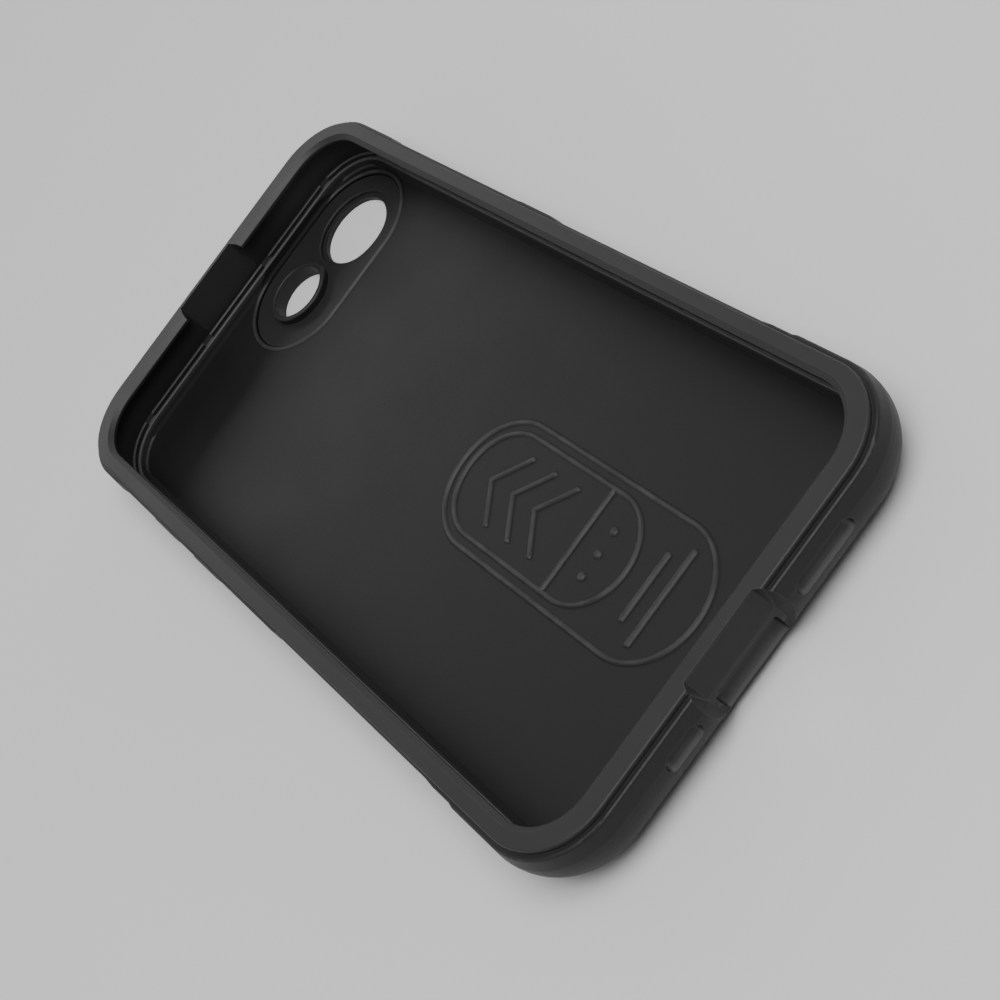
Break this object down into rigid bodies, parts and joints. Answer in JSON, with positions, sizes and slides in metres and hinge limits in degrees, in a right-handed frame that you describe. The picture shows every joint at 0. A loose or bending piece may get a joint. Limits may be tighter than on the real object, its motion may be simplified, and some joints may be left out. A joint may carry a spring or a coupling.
{
  "type": "phone case",
  "caption": "Rugged two-layer protective case for a compact phone, open at the screen side, with a soft liner, a thick shock frame, a camera guard and spring-back side buttons.",
  "frame": {"origin": "middle of the case on its lowest plane, the flat back edge of the bumper frame", "axes": "+X to the side with the power button, +Y to the camera end, +Z to the screen side"},
  "size_m": [0.072, 0.145, 0.0106],
  "materials": {
    "soft_shell": "matte moulded soft plastic",
    "bumper": "matte moulded soft plastic",
    "back_sheet": "fine matte texture",
    "guard": "satin",
    "button": "matte moulded soft plastic"
  },
  "bodies": {
    "case": {"inner_shell": "soft_shell", "bumper_frame": "bumper", "back_plate": "back_sheet", "camera_guard": "guard"},
    "power_key": {"power_button": "button"},
    "volume_up_key": {"volume_up_button": "button"},
    "volume_down_key": {"volume_down_button": "button"}
  },
  "joints": [
    {"name": "power_key_press", "type": "slide", "parent": "case", "child": "power_key", "axis": [-1, 0, 0], "range_m": [0, 0.0004], "stiffness_N_per_m": 1200, "springref_m": -0.0002},
    {"name": "volume_up_key_press", "type": "slide", "parent": "case", "child": "volume_up_key", "axis": [1, 0, 0], "range_m": [0, 0.0004], "stiffness_N_per_m": 1200, "springref_m": -0.0002},
    {"name": "volume_down_key_press", "type": "slide", "parent": "case", "child": "volume_down_key", "axis": [1, 0, 0], "range_m": [0, 0.0004], "stiffness_N_per_m": 1200, "springref_m": -0.0002}
  ]
}
